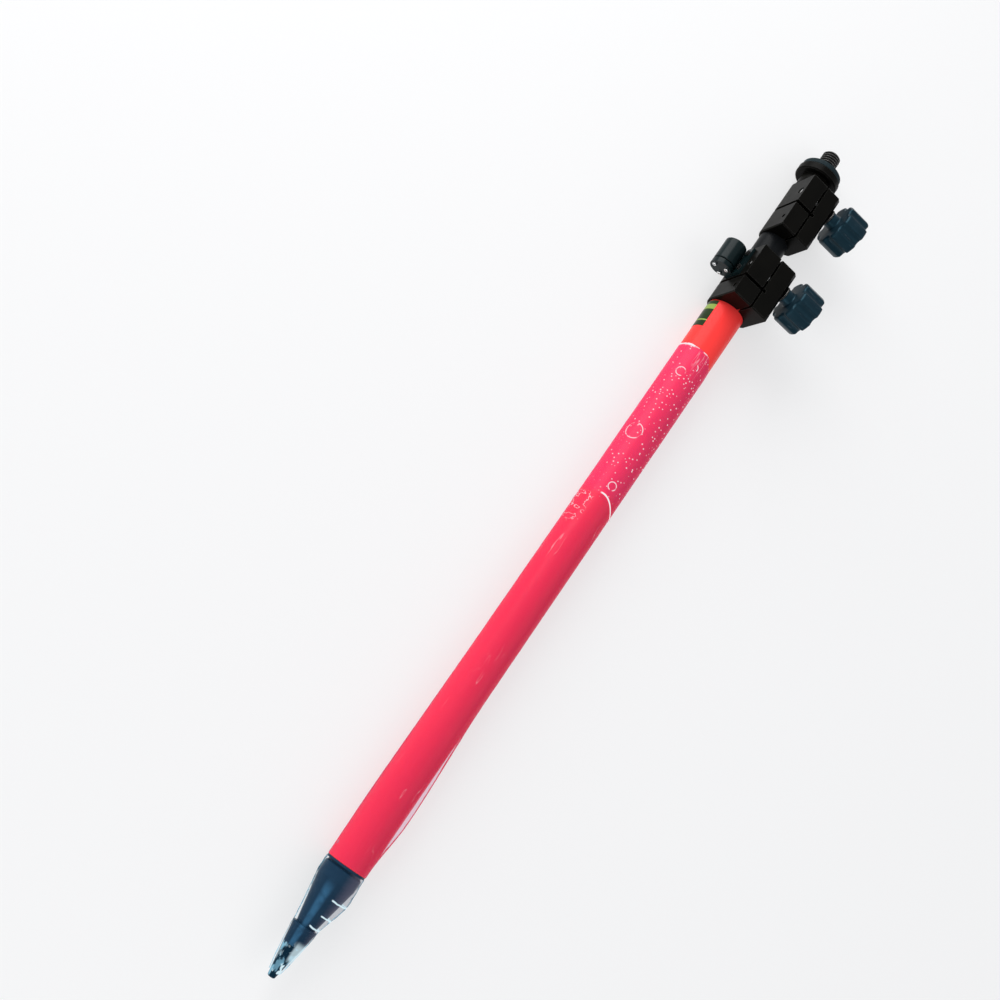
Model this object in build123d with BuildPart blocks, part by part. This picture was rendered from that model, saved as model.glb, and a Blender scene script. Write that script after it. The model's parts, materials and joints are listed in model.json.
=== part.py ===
from build123d import *
import os
from math import cos, radians, sin, sqrt
from types import SimpleNamespace

# Prism pole for surveying: a steel point and foot cone, three telescoping tubes, two knob
# clamps, a circular level on the lower clamp, and a threaded stud for the prism on top.
#
# Millimetres. The origin is the tip of the steel point and +Z runs up the pole. The pole is
# modelled closed. The clamps' split fronts face -Y, their knobs point along +X, and the
# circular level is on -X.
#
# Each clamp is a block with a split front. Its lower half is pinched on one tube by a cap
# screw, and its upper half is pinched on the next, sliding tube by the knob and its stud.

os.makedirs("parts", exist_ok=True)

# ---- Fits -------------------------------------------------------------------------------
SLIP = 0.05            # radial clearance of a piece on a tube or in a bore
RUNNING = 0.10         # radial clearance of a bush that slides in a tube
THREAD_GAP = 0.05      # radial clearance left between a screw and its tapped hole

# ---- Tubes ------------------------------------------------------------------------------
OUTER_R = 16.0
OUTER_SPIGOT_R = 15.8  # the outer tube's top end is turned down for its clamp
MIDDLE_R = 12.5
INNER_R = 9.5
TUBE_WALL = 1.25
SPIGOT_SHOW = 0.5      # the turned end shows this far below the clamp
GUIDE_LENGTH = 18.0    # bush on the bottom end of each sliding tube

# ---- Foot -------------------------------------------------------------------------------
POINT_TIP_R = 3.0
POINT_R = 7.4
POINT_TOP = 25.0
POINT_SHANK_R = 5.0
POINT_SHANK_TOP = 54.0
COLLAR_R = 9.6
COLLAR_TOP = 40.0
CONE_BOTTOM_R = 7.6
CONE_R = 15.0
CONE_TOP = 75.0
RIM_R = 15.8           # rim under the outer tube's end, with a groove below it
GROOVE_BOTTOM = 86.0
GROOVE_TOP = 87.2
GROOVE_DEPTH = 1.2
TUBE_BOTTOM = 89.0
PLUG_TOP = 109.0
FOOT_PIN_Z = 99.0
FOOT_PIN_R = 1.5
FOOT_PIN_LENGTH = 6.0

# ---- Clamps -----------------------------------------------------------------------------
SLEEVE_WALL = 2.0
WIPER_HEIGHT = 4.0
WIPER_SEAT = 0.2       # axial play of the wiper ring in its seat
WIPER_LIP = 0.6        # the lip stands this far above the clamp
FLEX_SLOT = 3.0        # height of the level slot that frees the clamp's upper half
FLEX_SLOT_END = 5.0    # the slot stops here, so the right side joins the two halves
SPLIT_X = 1.5          # upright split in the clamp's front
SPLIT_WIDTH = 2.0
TUBE_END_GAP = 0.5     # from a fixed tube's top end up to the guide sleeve's seat
CLAMP_EDGE = 0.8
CORNER_CHAMFER = 3.0
STUD_R = 3.0           # M6
STUD_RECESS = 0.6
STUD_IN_KNOB = 14.0
STUD_CLEARANCE = 0.3
WASHER_R = 7.0
WASHER_THICKNESS = 1.4
KNOB_R = 19.0
KNOB_LENGTH = 27.8
KNOB_LOBES = 7
KNOB_ROUND = 2.5
FLUTE_R = 5.0
FLUTE_CENTRE_R = 21.2
FLUTE_ROUND = 2.2
HUB_R = 6.4
HUB_LENGTH = 6.8
INSERT_R = 5.2
PINCH_R = 2.0          # M4 cap screw
PINCH_RECESS = 1.5
PINCH_HEAD_R = 3.5
PINCH_HEAD_HEIGHT = 4.0
PINCH_SOCKET_R = 1.7

# ---- Circular level ---------------------------------------------------------------------
LEVEL_R = 9.5
LEVEL_X = -28.8
LEVEL_Y = -10.0
LEVEL_BOTTOM = 628.0
LEVEL_PLATE = 4.0
LEVEL_GAP = 1.0        # spring gap between the bracket and the cup
LEVEL_TOP = 653.0
LEVEL_SCREW_PCD = 12.3
LEVEL_SCREW_START = 180.0   # the first screw is on the outer side
LEVEL_SCREW_R = 1.25
LEVEL_HEAD_R = 1.8
LEVEL_HEAD_HEIGHT = 1.4
LEVEL_SCREW_BITE = 5.0
BRACKET_FOOT = 2.4
BRACKET_FRONT = -24.0  # the bracket's foot runs from here ...
BRACKET_BACK = -4.0    # ... to here along the clamp's left face
BRACKET_TOP = 654.0
BRACKET_SCREW_Y = -21.3
BRACKET_SCREW_HEIGHTS = (634.0, 648.5)
BRACKET_SCREW_R = 1.25
BRACKET_SCREW_BITE = 3.0
BRACKET_HEAD_R = 2.2
BRACKET_HEAD_HEIGHT = 1.6

# ---- Top --------------------------------------------------------------------------------
SKIRT_R = 12.8
SKIRT_BOTTOM = 741.5
FLANGE_BOTTOM = 752.5
FLANGE_R = 18.8
FLANGE_TOP = 759.5
PAD_TOP = 764.5
TOP_STUD_R = 7.94      # 5/8 inch thread
TOP_STUD_END = 783.0
TOP_STUD_LEAD = 1.6
RELIEF_R = 6.8         # thread relief where the stud passes the pad
RELIEF_TOP = 765.0
TOP_SHANK_R = 5.0
TOP_SHANK_BOTTOM = 748.0
ADAPTER_PLUG_BOTTOM = 734.0
ADAPTER_PIN_Z = 745.4

# side, right and front are how far a clamp reaches to -X, to +X and to -Y from the pole's
# axis. The knob's stud and the cap screw cross its front at screw_y.
LOWER = SimpleNamespace(
    name="lower", bottom=608.0, top=657.5, slot_z=626.0, knob_z=639.5, pinch_z=616.0,
    side=17.8, right=20.0, front=35.0, screw_y=-28.5, fixed_r=OUTER_SPIGOT_R,
    sliding_r=MIDDLE_R)
UPPER = SimpleNamespace(
    name="upper", bottom=685.0, top=739.0, slot_z=709.5, knob_z=723.0, pinch_z=695.0,
    side=14.4, right=17.8, front=28.5, screw_y=-22.0, fixed_r=MIDDLE_R, sliding_r=INNER_R)

FIRST_NEST = 3.0       # the middle tube stands this far above the foot's plug
SECOND_NEST = 12.0     # the inner tube starts this far above the middle tube's end
MIDDLE_BOTTOM = PLUG_TOP + FIRST_NEST
INNER_BOTTOM = MIDDLE_BOTTOM + SECOND_NEST


def tube_end(clamp):
    """Height of the top end of the tube that a clamp is fixed on."""
    return clamp.slot_z - FLEX_SLOT / 2 - TUBE_END_GAP


def sleeve_bottom(clamp):
    return clamp.slot_z + FLEX_SLOT / 2


def sleeve_top(clamp):
    return clamp.top - WIPER_HEIGHT - WIPER_SEAT


def sleeve_radius(clamp):
    return clamp.sliding_r + SLEEVE_WALL


def knob_start(clamp):
    """Distance from the pole's axis to the knob's hub when the clamp is tight."""
    return clamp.right + WASHER_THICKNESS + 2 * SLIP


def across(clamp, x, height):
    """Plane that faces +X, centred on the screw line of a clamp's front."""
    return Plane(origin=(x, clamp.screw_y, height), x_dir=(0, 1, 0), z_dir=(1, 0, 0))


def radial_plane(distance, height, angle=0):
    """Plane that faces away from the pole's axis, at a distance from it."""
    out = (cos(radians(angle)), sin(radians(angle)), 0)
    side = (-out[1], out[0], 0)
    origin = (distance * out[0], distance * out[1], height)
    return Plane(origin=origin, x_dir=side, z_dir=out)


def save(piece, node):
    """Name a finished piece and write it as its own file."""
    piece.part.label = node
    export_step(piece.part, f"parts/{node}.step")


# ---- Foot: steel point, its collar, the cone and the pins that hold the cone ---------------
with BuildPart() as steel_point:
    with BuildSketch(Plane.XZ):
        with BuildLine():
            Polyline(
                (0, 0),
                (POINT_TIP_R - 0.6, 0),
                (POINT_TIP_R, 0.6),
                (POINT_R, POINT_TOP),
                (POINT_SHANK_R, POINT_TOP),
                (POINT_SHANK_R, POINT_SHANK_TOP),
                (0, POINT_SHANK_TOP),
                close=True,
            )
        make_face()
    revolve(axis=Axis.Z)
save(steel_point, "steel_point")

with BuildPart() as point_collar:
    with BuildSketch(Plane.XZ):
        with BuildLine():
            Polyline(
                (POINT_SHANK_R, POINT_TOP),
                (POINT_R, POINT_TOP),
                (COLLAR_R - 0.3, COLLAR_TOP - 3),
                (COLLAR_R, COLLAR_TOP - 2),
                (COLLAR_R, COLLAR_TOP),
                (POINT_SHANK_R, COLLAR_TOP),
                close=True,
            )
        make_face()
    revolve(axis=Axis.Z)
save(point_collar, "point_collar")

PLUG_R = OUTER_R - TUBE_WALL - SLIP
with BuildPart() as foot_cone:
    with BuildSketch(Plane.XZ):
        with BuildLine():
            Polyline(
                (POINT_SHANK_R + THREAD_GAP, COLLAR_TOP),
                (CONE_BOTTOM_R, COLLAR_TOP),
                (CONE_R - 0.5, CONE_TOP - 1),
                (CONE_R, CONE_TOP + 1),
                (CONE_R, GROOVE_BOTTOM - GROOVE_DEPTH),
                (CONE_R - GROOVE_DEPTH, GROOVE_BOTTOM),
                (CONE_R - GROOVE_DEPTH, GROOVE_TOP),
                (RIM_R, GROOVE_TOP),
                (RIM_R, TUBE_BOTTOM),
                (PLUG_R, TUBE_BOTTOM),
                (PLUG_R, PLUG_TOP - 1),
                (PLUG_R - 1, PLUG_TOP),
                (0, PLUG_TOP),
                (0, POINT_SHANK_TOP + 1),
                (POINT_SHANK_R + THREAD_GAP, POINT_SHANK_TOP + 1),
                close=True,
            )
        make_face()
    revolve(axis=Axis.Z)
    for angle in (0, 180):
        with BuildSketch(radial_plane(OUTER_R - FOOT_PIN_LENGTH, FOOT_PIN_Z, angle)):
            Circle(FOOT_PIN_R)
        extrude(amount=FOOT_PIN_LENGTH, mode=Mode.SUBTRACT)
save(foot_cone, "foot_cone")

with BuildPart() as foot_pins:
    for angle in (0, 180):
        with BuildSketch(radial_plane(OUTER_R - FOOT_PIN_LENGTH, FOOT_PIN_Z, angle)):
            Circle(FOOT_PIN_R)
        extrude(amount=FOOT_PIN_LENGTH)
    with BuildSketch(Plane.XY.offset(FOOT_PIN_Z - FOOT_PIN_R)):
        Circle(OUTER_R)
    extrude(amount=2 * FOOT_PIN_R, mode=Mode.INTERSECT)
save(foot_pins, "foot_pins")


# ---- Tubes and their guide bushes ----------------------------------------------------------
with BuildPart() as outer_tube:
    with BuildSketch(Plane.XY.offset(TUBE_BOTTOM)):
        Circle(OUTER_R)
        Circle(OUTER_R - TUBE_WALL, mode=Mode.SUBTRACT)
    extrude(amount=tube_end(LOWER) - TUBE_BOTTOM)
    spigot_bottom = LOWER.bottom - SPIGOT_SHOW
    with BuildSketch(Plane.XY.offset(spigot_bottom)):
        Circle(OUTER_R + 1)
        Circle(OUTER_SPIGOT_R, mode=Mode.SUBTRACT)
    extrude(amount=tube_end(LOWER) - spigot_bottom, mode=Mode.SUBTRACT)
    for angle in (0, 180):
        with BuildSketch(radial_plane(OUTER_R - FOOT_PIN_LENGTH, FOOT_PIN_Z, angle)):
            Circle(FOOT_PIN_R)
        extrude(amount=2 * FOOT_PIN_LENGTH, mode=Mode.SUBTRACT)
save(outer_tube, "outer_tube")

with BuildPart() as middle_tube:
    with BuildSketch(Plane.XY.offset(MIDDLE_BOTTOM)):
        Circle(MIDDLE_R)
        Circle(MIDDLE_R - TUBE_WALL, mode=Mode.SUBTRACT)
    extrude(amount=tube_end(UPPER) - MIDDLE_BOTTOM)
save(middle_tube, "middle_tube")

with BuildPart() as inner_tube:
    with BuildSketch(Plane.XY.offset(INNER_BOTTOM)):
        Circle(INNER_R)
        Circle(INNER_R - TUBE_WALL, mode=Mode.SUBTRACT)
    extrude(amount=FLANGE_BOTTOM - INNER_BOTTOM)
    with BuildSketch(Plane.XZ.offset(-INNER_R)):
        with Locations((0, ADAPTER_PIN_Z)):
            Circle(FOOT_PIN_R)
    extrude(amount=2 * INNER_R, mode=Mode.SUBTRACT)
save(inner_tube, "inner_tube")


def make_guide(node, bottom, tube_r, bore_r):
    """Bush fixed on a tube's bottom end, which slides in the next tube's bore."""
    with BuildPart() as guide:
        with BuildSketch(Plane.XY.offset(bottom)):
            Circle(bore_r - RUNNING)
            Circle(tube_r, mode=Mode.SUBTRACT)
        extrude(amount=GUIDE_LENGTH)
        rims = guide.edges().filter_by(GeomType.CIRCLE).sort_by(SortBy.RADIUS)[-2:]
        chamfer(rims, 0.6)
    save(guide, node)


make_guide("middle_guide", MIDDLE_BOTTOM, MIDDLE_R, OUTER_R - TUBE_WALL)
make_guide("inner_guide", INNER_BOTTOM, INNER_R, MIDDLE_R - TUBE_WALL)

# A blank sticker wraps part of the way round the outer tube, below the clamp.
LABEL_BOTTOM = 581.0
LABEL_HEIGHT = 26.0
LABEL_THICKNESS = 0.15
LABEL_HALF_ANGLE = 34
LABEL_MIDDLE_ANGLE = 180
with BuildPart() as tube_label:
    with BuildSketch(Plane.XY.offset(LABEL_BOTTOM)):
        with BuildLine():
            first = LABEL_MIDDLE_ANGLE - LABEL_HALF_ANGLE
            sweep_angle = 2 * LABEL_HALF_ANGLE
            inside = CenterArc((0, 0), OUTER_R, first, sweep_angle)
            outside = CenterArc((0, 0), OUTER_R + LABEL_THICKNESS, first, sweep_angle)
            Line(inside @ 0, outside @ 0)
            Line(inside @ 1, outside @ 1)
        make_face()
    extrude(amount=LABEL_HEIGHT)
save(tube_label, "tube_label")


# ---- Clamps --------------------------------------------------------------------------------
def make_clamp_body(clamp):
    height = clamp.top - clamp.bottom
    reach = 2 * clamp.front
    with BuildPart() as body:
        with BuildSketch(Plane.XY.offset(clamp.bottom)):
            Circle(clamp.side)
            with Locations((-clamp.side, -clamp.front)):
                Rectangle(clamp.side + clamp.right, clamp.front, align=(Align.MIN, Align.MIN))
            make_hull()
        extrude(amount=height)
        corner = body.edges().filter_by(Axis.Z).group_by(Axis.Y)[0].sort_by(Axis.X)[-1]
        chamfer(corner, CORNER_CHAMFER)
        chamfer(body.faces().sort_by(Axis.Z)[0].edges(), CLAMP_EDGE)
        chamfer(body.faces().sort_by(Axis.Z)[-1].edges(), CLAMP_EDGE)
        # The bore of the fixed tube, then the narrower bore of the guide sleeve.
        with BuildSketch(Plane.XY.offset(clamp.bottom)):
            Circle(clamp.fixed_r + SLIP)
        extrude(amount=clamp.slot_z - clamp.bottom, mode=Mode.SUBTRACT)
        with BuildSketch(Plane.XY.offset(clamp.slot_z)):
            Circle(sleeve_radius(clamp) + SLIP)
        extrude(amount=clamp.top - clamp.slot_z, mode=Mode.SUBTRACT)
        # Level slot between the two halves, and the upright split of the front.
        with BuildSketch(Plane.XY.offset(clamp.slot_z - FLEX_SLOT / 2)):
            with Locations((FLEX_SLOT_END, 0)):
                Rectangle(reach, 2 * reach, align=(Align.MAX, Align.CENTER))
        extrude(amount=FLEX_SLOT, mode=Mode.SUBTRACT)
        with BuildSketch(Plane.XY.offset(clamp.bottom)):
            with Locations((SPLIT_X, 0)):
                Rectangle(SPLIT_WIDTH, reach, align=(Align.CENTER, Align.MAX))
        extrude(amount=height, mode=Mode.SUBTRACT)
        # Both screws are tapped in the left side and pass freely through the right side.
        for level, screw_r in ((clamp.knob_z, STUD_R), (clamp.pinch_z, PINCH_R)):
            with BuildSketch(across(clamp, SPLIT_X, level)):
                Circle(screw_r + THREAD_GAP)
            extrude(amount=-reach, mode=Mode.SUBTRACT)
            with BuildSketch(across(clamp, SPLIT_X, level)):
                Circle(screw_r + STUD_CLEARANCE)
            extrude(amount=reach, mode=Mode.SUBTRACT)
        with BuildSketch(across(clamp, clamp.right - PINCH_HEAD_HEIGHT, clamp.pinch_z)):
            Circle(PINCH_HEAD_R + STUD_CLEARANCE)
        extrude(amount=reach, mode=Mode.SUBTRACT)
        if clamp is LOWER:
            for level in BRACKET_SCREW_HEIGHTS:
                with BuildSketch(Plane.YZ.offset(-clamp.side)):
                    with Locations((BRACKET_SCREW_Y, level)):
                        Circle(BRACKET_SCREW_R + THREAD_GAP)
                extrude(amount=BRACKET_SCREW_BITE + RUNNING, mode=Mode.SUBTRACT)
    save(body, f"{clamp.name}_clamp_body")


def make_guide_sleeve(clamp):
    """Plastic bush that the sliding tube runs in, split so that the clamp can close it."""
    length = sleeve_top(clamp) - sleeve_bottom(clamp)
    with BuildPart() as sleeve:
        with BuildSketch(Plane.XY.offset(sleeve_bottom(clamp))):
            Circle(sleeve_radius(clamp))
            Circle(clamp.sliding_r + SLIP, mode=Mode.SUBTRACT)
        extrude(amount=length)
        with BuildSketch(Plane.XY.offset(sleeve_bottom(clamp))):
            with Locations((SPLIT_X, 0)):
                Rectangle(SPLIT_WIDTH, 2 * clamp.sliding_r, align=(Align.CENTER, Align.MAX))
        extrude(amount=length, mode=Mode.SUBTRACT)
    save(sleeve, f"{clamp.name}_guide_sleeve")


def make_wiper_ring(clamp):
    """Rubber ring in the clamp's top bore, with a lip that wipes the sliding tube."""
    ring_r = sleeve_radius(clamp) - SLIP
    bottom = clamp.top - WIPER_HEIGHT
    lip_r = clamp.sliding_r + SLIP
    with BuildPart() as ring:
        with BuildSketch(Plane.XZ):
            with BuildLine():
                Polyline(
                    (ring_r, bottom),
                    (ring_r, clamp.top - 0.3),
                    (ring_r - 0.5, clamp.top),
                    (lip_r + 0.3, clamp.top + WIPER_LIP),
                    (lip_r, clamp.top + WIPER_LIP - 0.2),
                    (lip_r, bottom + 1),
                    (lip_r + 0.5, bottom),
                    close=True,
                )
            make_face()
        revolve(axis=Axis.Z)
    save(ring, f"{clamp.name}_wiper_ring")


def make_clamp_stud(clamp):
    """Stud fixed in the knob, and screwed into the left side of the clamp."""
    left_end = -clamp.side + STUD_RECESS
    with BuildPart() as stud:
        with BuildSketch(across(clamp, left_end, clamp.knob_z)):
            Circle(STUD_R)
        extrude(amount=knob_start(clamp) + STUD_IN_KNOB - left_end)
        chamfer(stud.edges().filter_by(GeomType.CIRCLE), 0.6)
    save(stud, f"{clamp.name}_clamp_stud")


def make_thrust_washer(clamp):
    """Washer between the knob's hub and the clamp's right side."""
    with BuildPart() as washer:
        with BuildSketch(across(clamp, clamp.right + SLIP, clamp.knob_z)):
            Circle(WASHER_R)
            Circle(STUD_R + STUD_CLEARANCE, mode=Mode.SUBTRACT)
        extrude(amount=WASHER_THICKNESS)
        chamfer(washer.edges().filter_by(GeomType.CIRCLE).sort_by(SortBy.RADIUS)[-2:], 0.3)
    save(washer, f"{clamp.name}_thrust_washer")


def make_knob_insert(clamp):
    """Brass insert moulded into the knob, which grips the stud."""
    with BuildPart() as insert:
        with BuildSketch(across(clamp, knob_start(clamp), clamp.knob_z)):
            RegularPolygon(INSERT_R, 6)
            Circle(STUD_R, mode=Mode.SUBTRACT)
        extrude(amount=STUD_IN_KNOB)
    save(insert, f"{clamp.name}_knob_insert")


def make_knob(clamp):
    """Lobed knob with a short round hub on the side of the clamp."""
    hub_start = knob_start(clamp)
    grip_start = hub_start + HUB_LENGTH
    with BuildPart() as knob:
        with BuildSketch(across(clamp, grip_start, clamp.knob_z)) as outline:
            Circle(KNOB_R)
            with PolarLocations(FLUTE_CENTRE_R, KNOB_LOBES):
                Circle(FLUTE_R, mode=Mode.SUBTRACT)
            fillet(outline.vertices(), FLUTE_ROUND)
        extrude(amount=KNOB_LENGTH - HUB_LENGTH)
        for end in (0, -1):
            rim = knob.faces().filter_by(Axis.X).sort_by(Axis.X)[end]
            fillet(rim.edges(), KNOB_ROUND)
        with BuildSketch(across(clamp, hub_start, clamp.knob_z)):
            Circle(HUB_R)
        extrude(amount=HUB_LENGTH)
        with BuildSketch(across(clamp, hub_start, clamp.knob_z)):
            RegularPolygon(INSERT_R, 6)
        extrude(amount=STUD_IN_KNOB, mode=Mode.SUBTRACT)
    save(knob, f"{clamp.name}_knob")


def make_pinch_screw(clamp):
    """Cap screw that pinches the clamp's lower half on its fixed tube."""
    head_start = clamp.right - PINCH_HEAD_HEIGHT
    left_end = -clamp.side + PINCH_RECESS
    with BuildPart() as screw:
        with BuildSketch(across(clamp, left_end, clamp.pinch_z)):
            Circle(PINCH_R)
        extrude(amount=head_start - left_end)
        with BuildSketch(across(clamp, head_start, clamp.pinch_z)):
            Circle(PINCH_HEAD_R)
        extrude(amount=PINCH_HEAD_HEIGHT)
        chamfer(screw.edges().filter_by(GeomType.CIRCLE).sort_by(Axis.X)[-1], 0.4)
        with BuildSketch(across(clamp, clamp.right, clamp.pinch_z)):
            RegularPolygon(PINCH_SOCKET_R, 6)
        extrude(amount=-PINCH_HEAD_HEIGHT / 2, mode=Mode.SUBTRACT)
    save(screw, f"{clamp.name}_pinch_screw")


for clamp in (LOWER, UPPER):
    make_clamp_body(clamp)
    make_guide_sleeve(clamp)
    make_wiper_ring(clamp)
    make_clamp_stud(clamp)
    make_thrust_washer(clamp)
    make_knob_insert(clamp)
    make_knob(clamp)
    make_pinch_screw(clamp)


# ---- Circular level ------------------------------------------------------------------------
def level_plane(height):
    """Level plane centred on the circular level's own axis."""
    return Plane(origin=(LEVEL_X, LEVEL_Y, height))


CUP_BOTTOM = LEVEL_BOTTOM + LEVEL_PLATE + LEVEL_GAP
CUP_FLOOR = 7.5
CUP_WALL = 1.7
RING_THICKNESS = 1.5
WEB_HALF_WIDTH = 4.5
FACE_X = -LOWER.side

with BuildPart() as level_bracket:
    with BuildSketch(level_plane(LEVEL_BOTTOM)):
        Circle(LEVEL_R)
        Rectangle(FACE_X - LEVEL_X - BRACKET_FOOT / 2, 2 * WEB_HALF_WIDTH,
                  align=(Align.MIN, Align.CENTER))
    extrude(amount=LEVEL_PLATE)
    with BuildSketch(Plane.XY.offset(LEVEL_BOTTOM)):
        with Locations((FACE_X, BRACKET_FRONT)):
            Rectangle(BRACKET_FOOT, BRACKET_BACK - BRACKET_FRONT, align=(Align.MAX, Align.MIN))
    extrude(amount=BRACKET_TOP - LEVEL_BOTTOM)
    with BuildSketch(level_plane(CUP_BOTTOM)):
        Circle(LEVEL_R + 2 * RUNNING)
    extrude(amount=BRACKET_TOP - CUP_BOTTOM, mode=Mode.SUBTRACT)
    with BuildSketch(level_plane(LEVEL_BOTTOM)):
        with PolarLocations(LEVEL_SCREW_PCD / 2, 3, start_angle=LEVEL_SCREW_START):
            Circle(LEVEL_SCREW_R + RUNNING)
    extrude(amount=LEVEL_PLATE, mode=Mode.SUBTRACT)
    for level in BRACKET_SCREW_HEIGHTS:
        with BuildSketch(Plane.YZ.offset(FACE_X)):
            with Locations((BRACKET_SCREW_Y, level)):
                Circle(BRACKET_SCREW_R + THREAD_GAP)
        extrude(amount=-BRACKET_FOOT, mode=Mode.SUBTRACT)
save(level_bracket, "level_bracket")

with BuildPart() as bracket_screws:
    for level in BRACKET_SCREW_HEIGHTS:
        with BuildSketch(Plane.YZ.offset(FACE_X + BRACKET_SCREW_BITE)):
            with Locations((BRACKET_SCREW_Y, level)):
                Circle(BRACKET_SCREW_R)
        extrude(amount=-BRACKET_SCREW_BITE - BRACKET_FOOT)
        with BuildSketch(Plane.YZ.offset(FACE_X - BRACKET_FOOT)):
            with Locations((BRACKET_SCREW_Y, level)):
                Circle(BRACKET_HEAD_R)
        extrude(amount=-BRACKET_HEAD_HEIGHT)
        with BuildSketch(Plane.YZ.offset(FACE_X - BRACKET_FOOT - BRACKET_HEAD_HEIGHT)):
            with Locations((BRACKET_SCREW_Y, level)):
                RegularPolygon(BRACKET_HEAD_R / 2, 6)
        extrude(amount=BRACKET_HEAD_HEIGHT / 2, mode=Mode.SUBTRACT)
save(bracket_screws, "bracket_screws")

with BuildPart() as level_cup:
    with BuildSketch(level_plane(CUP_BOTTOM)):
        Circle(LEVEL_R)
    extrude(amount=LEVEL_TOP - RING_THICKNESS - CUP_BOTTOM)
    chamfer(level_cup.edges().sort_by(Axis.Z)[0], 0.5)
    with BuildSketch(level_plane(CUP_BOTTOM + CUP_FLOOR)):
        Circle(LEVEL_R - CUP_WALL)
    extrude(amount=LEVEL_TOP - CUP_BOTTOM, mode=Mode.SUBTRACT)
    with BuildSketch(level_plane(CUP_BOTTOM)):
        with PolarLocations(LEVEL_SCREW_PCD / 2, 3, start_angle=LEVEL_SCREW_START):
            Circle(LEVEL_SCREW_R + THREAD_GAP)
    extrude(amount=CUP_FLOOR, mode=Mode.SUBTRACT)
save(level_cup, "level_cup")

with BuildPart() as level_ring:
    with BuildSketch(level_plane(LEVEL_TOP - RING_THICKNESS)):
        Circle(LEVEL_R)
        Circle(LEVEL_R - 3.0, mode=Mode.SUBTRACT)
    extrude(amount=RING_THICKNESS)
    rims = level_ring.faces().sort_by(Axis.Z)[-1].edges()
    chamfer(rims, 0.5)
save(level_ring, "level_ring")

# The vial is a clear block with a round chamber whose roof is slightly domed.
VIAL_R = LEVEL_R - CUP_WALL - SLIP
VIAL_BOTTOM = CUP_BOTTOM + CUP_FLOOR
VIAL_TOP = LEVEL_TOP - RING_THICKNESS
CHAMBER_R = 6.0
CHAMBER_BOTTOM = VIAL_BOTTOM + 1.5
ROOF_EDGE = VIAL_TOP - 2.6
ROOF_MIDDLE = VIAL_TOP - 1.6
BUBBLE_R = 2.2


ROOF_RISE = ROOF_MIDDLE - ROOF_EDGE
ROOF_R = (CHAMBER_R * CHAMBER_R + ROOF_RISE * ROOF_RISE) / (2 * ROOF_RISE)
BUBBLE_EDGE = ROOF_MIDDLE - ROOF_R + sqrt(ROOF_R * ROOF_R - BUBBLE_R * BUBBLE_R)
BUBBLE_DEPTH = 0.4

LEVEL_SIDE = Plane(origin=(LEVEL_X, LEVEL_Y, 0), x_dir=(1, 0, 0), z_dir=(0, -1, 0))
LEVEL_AXIS = Axis((LEVEL_X, LEVEL_Y, 0), (0, 0, 1))

with BuildPart() as chamber:
    with BuildSketch(LEVEL_SIDE):
        with BuildLine():
            Polyline(
                (0, ROOF_MIDDLE),
                (0, CHAMBER_BOTTOM),
                (CHAMBER_R, CHAMBER_BOTTOM),
                (CHAMBER_R, ROOF_EDGE),
            )
            TangentArc((0, ROOF_MIDDLE), (CHAMBER_R, ROOF_EDGE), tangent=(1, 0))
        make_face()
    revolve(axis=LEVEL_AXIS)

with BuildPart() as level_glass:
    with BuildSketch(level_plane(VIAL_BOTTOM)):
        Circle(VIAL_R)
    extrude(amount=VIAL_TOP - VIAL_BOTTOM)
    add(chamber.part, mode=Mode.SUBTRACT)
save(level_glass, "level_glass")

with BuildPart() as level_bubble:
    with BuildSketch(level_plane(BUBBLE_EDGE - BUBBLE_DEPTH)):
        Circle(BUBBLE_R)
    extrude(amount=VIAL_TOP - BUBBLE_EDGE)
    add(chamber.part, mode=Mode.INTERSECT)
save(level_bubble, "level_bubble")

with BuildPart() as level_fluid:
    add(chamber.part)
    add(level_bubble.part, mode=Mode.SUBTRACT)
save(level_fluid, "level_fluid")

# Conical spring washer in the gap under the cup.
with BuildPart() as level_spring:
    spring_bottom = LEVEL_BOTTOM + LEVEL_PLATE
    with BuildSketch(LEVEL_SIDE):
        with BuildLine():
            Polyline(
                (2.0, CUP_BOTTOM - 0.3),
                (2.4, CUP_BOTTOM),
                (4.6, spring_bottom + 0.3),
                (4.2, spring_bottom),
                close=True,
            )
        make_face()
    revolve(axis=LEVEL_AXIS)
save(level_spring, "level_spring")

# Three adjusting screws turn in the bracket's plate and are tapped into the cup's floor.
for number in range(3):
    with BuildPart() as level_screw:
        turn = radians(LEVEL_SCREW_START + 120 * number)
        screw_x = LEVEL_X + LEVEL_SCREW_PCD / 2 * cos(turn)
        screw_y = LEVEL_Y + LEVEL_SCREW_PCD / 2 * sin(turn)
        with BuildSketch(Plane(origin=(screw_x, screw_y, LEVEL_BOTTOM - LEVEL_HEAD_HEIGHT))):
            Circle(LEVEL_HEAD_R)
        extrude(amount=LEVEL_HEAD_HEIGHT)
        chamfer(level_screw.edges().sort_by(Axis.Z)[0], 0.3)
        with BuildSketch(Plane(origin=(screw_x, screw_y, LEVEL_BOTTOM))):
            Circle(LEVEL_SCREW_R)
        extrude(amount=LEVEL_PLATE + LEVEL_GAP + LEVEL_SCREW_BITE)
        with BuildSketch(Plane(origin=(screw_x, screw_y, LEVEL_BOTTOM - LEVEL_HEAD_HEIGHT))):
            RegularPolygon(0.9, 6)
        extrude(amount=0.9, mode=Mode.SUBTRACT)
    save(level_screw, f"level_screw_{number + 1}")


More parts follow.
